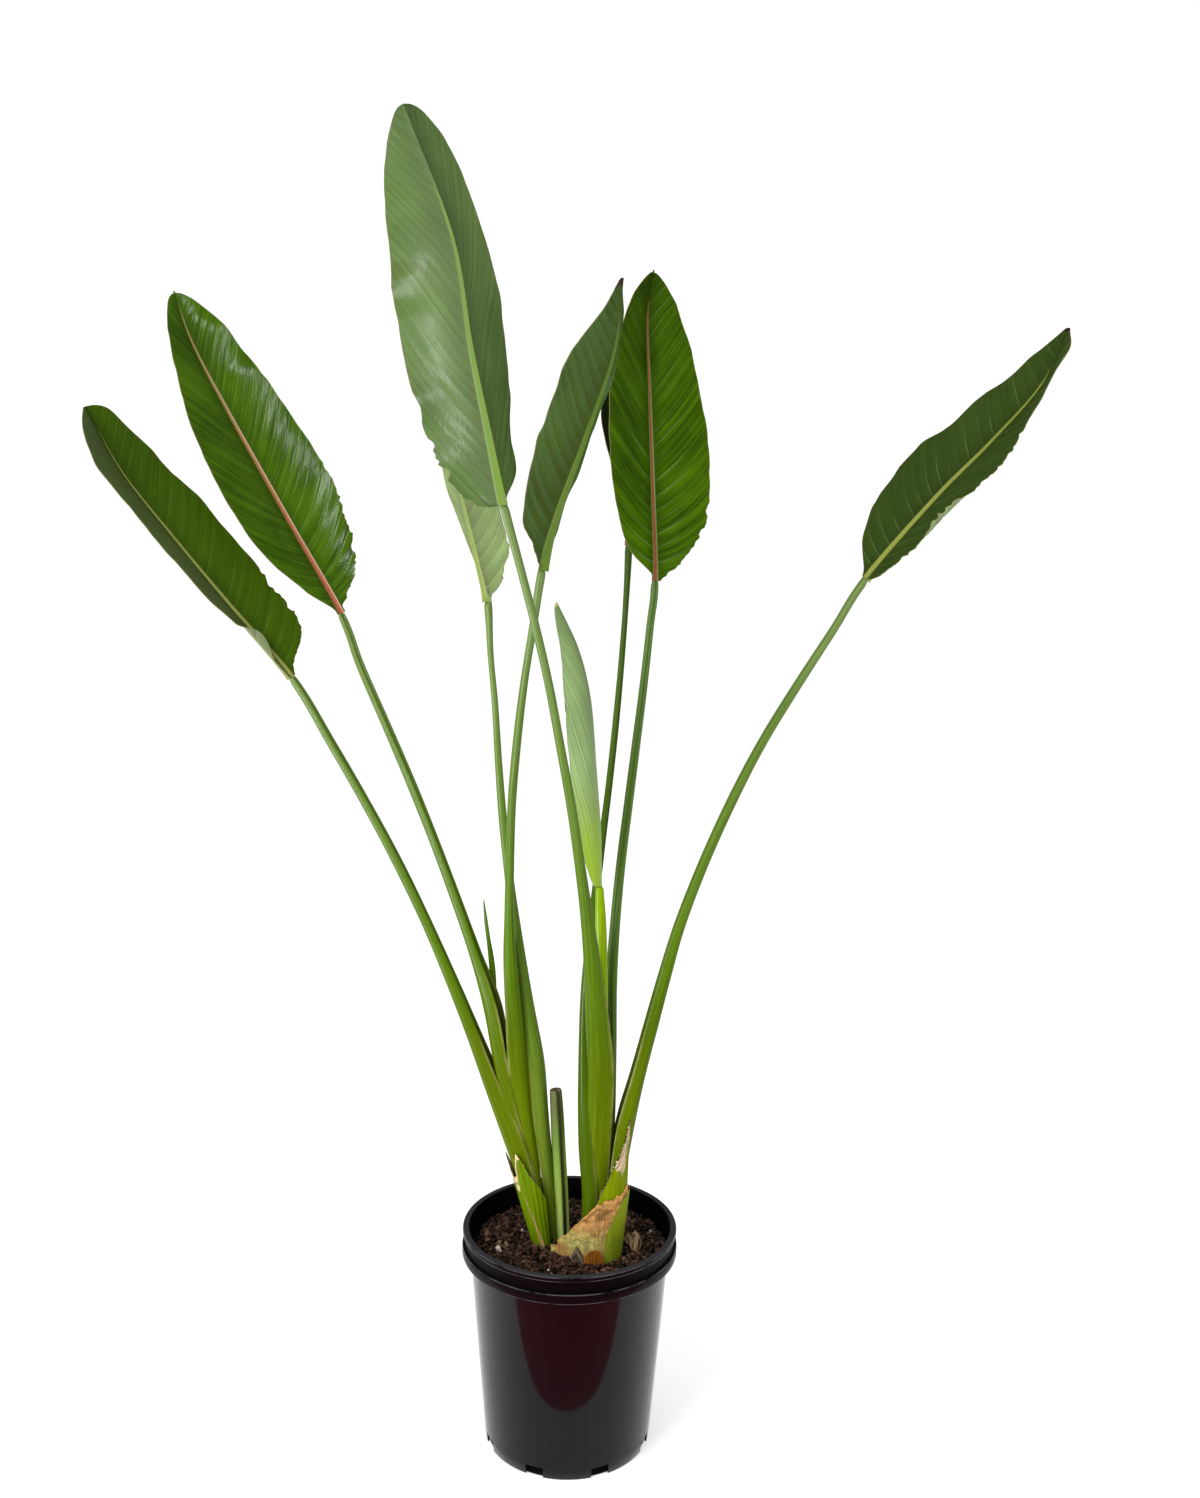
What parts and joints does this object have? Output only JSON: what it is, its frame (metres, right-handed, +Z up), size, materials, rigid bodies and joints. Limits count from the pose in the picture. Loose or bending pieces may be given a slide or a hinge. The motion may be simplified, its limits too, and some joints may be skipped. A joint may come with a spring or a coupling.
{
  "type": "potted bird of paradise",
  "caption": "Tall bird of paradise house plant with long stalks and broad paddle leaves in two fans, in a round dark nursery pot of soil.",
  "frame": {"origin": "centre of the pot's foot, on the ground", "axes": "+Z up along the pot, -Y towards the front of the plant, +X to the right seen from the front"},
  "size_m": [0.9968, 0.3574, 1.2976],
  "materials": {
    "pot": "gloss",
    "soil": "matte",
    "bark": "matte",
    "leaf_upper_side": "satin",
    "leaf_under_side": "satin",
    "young_leaf": "satin",
    "stalk": "satin",
    "green_sheath": "satin",
    "old_sheath": "satin",
    "brown_sheath": "matte",
    "dry_scale": "matte",
    "spear": "satin",
    "cut_stub": "satin"
  },
  "bodies": {
    "root": {"pot": "pot", "soil": "soil", "bark_chip": "bark", "cut_stub": "cut_stub", "spear": "spear", "cut_sheath_left": "green_sheath", "old_sheath_right": "old_sheath", "outer_base": "old_sheath", "brown_band": "brown_sheath", "dry_scale": "dry_scale", "stalk_far_left": "stalk", "blade_far_left": "leaf_upper_side", "stalk_left": "stalk", "blade_left": "leaf_upper_side", "stalk_upright": "stalk", "blade_upright": "leaf_upper_side", "stalk_back": "stalk", "blade_back": "leaf_upper_side", "stalk_far_right": "stalk", "blade_far_right": "leaf_upper_side", "stalk_small": "stalk", "blade_small": "leaf_under_side", "stalk_leaning": "stalk", "blade_leaning": "leaf_under_side", "stalk_tall": "stalk", "blade_tall": "leaf_under_side", "stalk_young": "stalk", "blade_young": "young_leaf"}
  },
  "joints": []
}
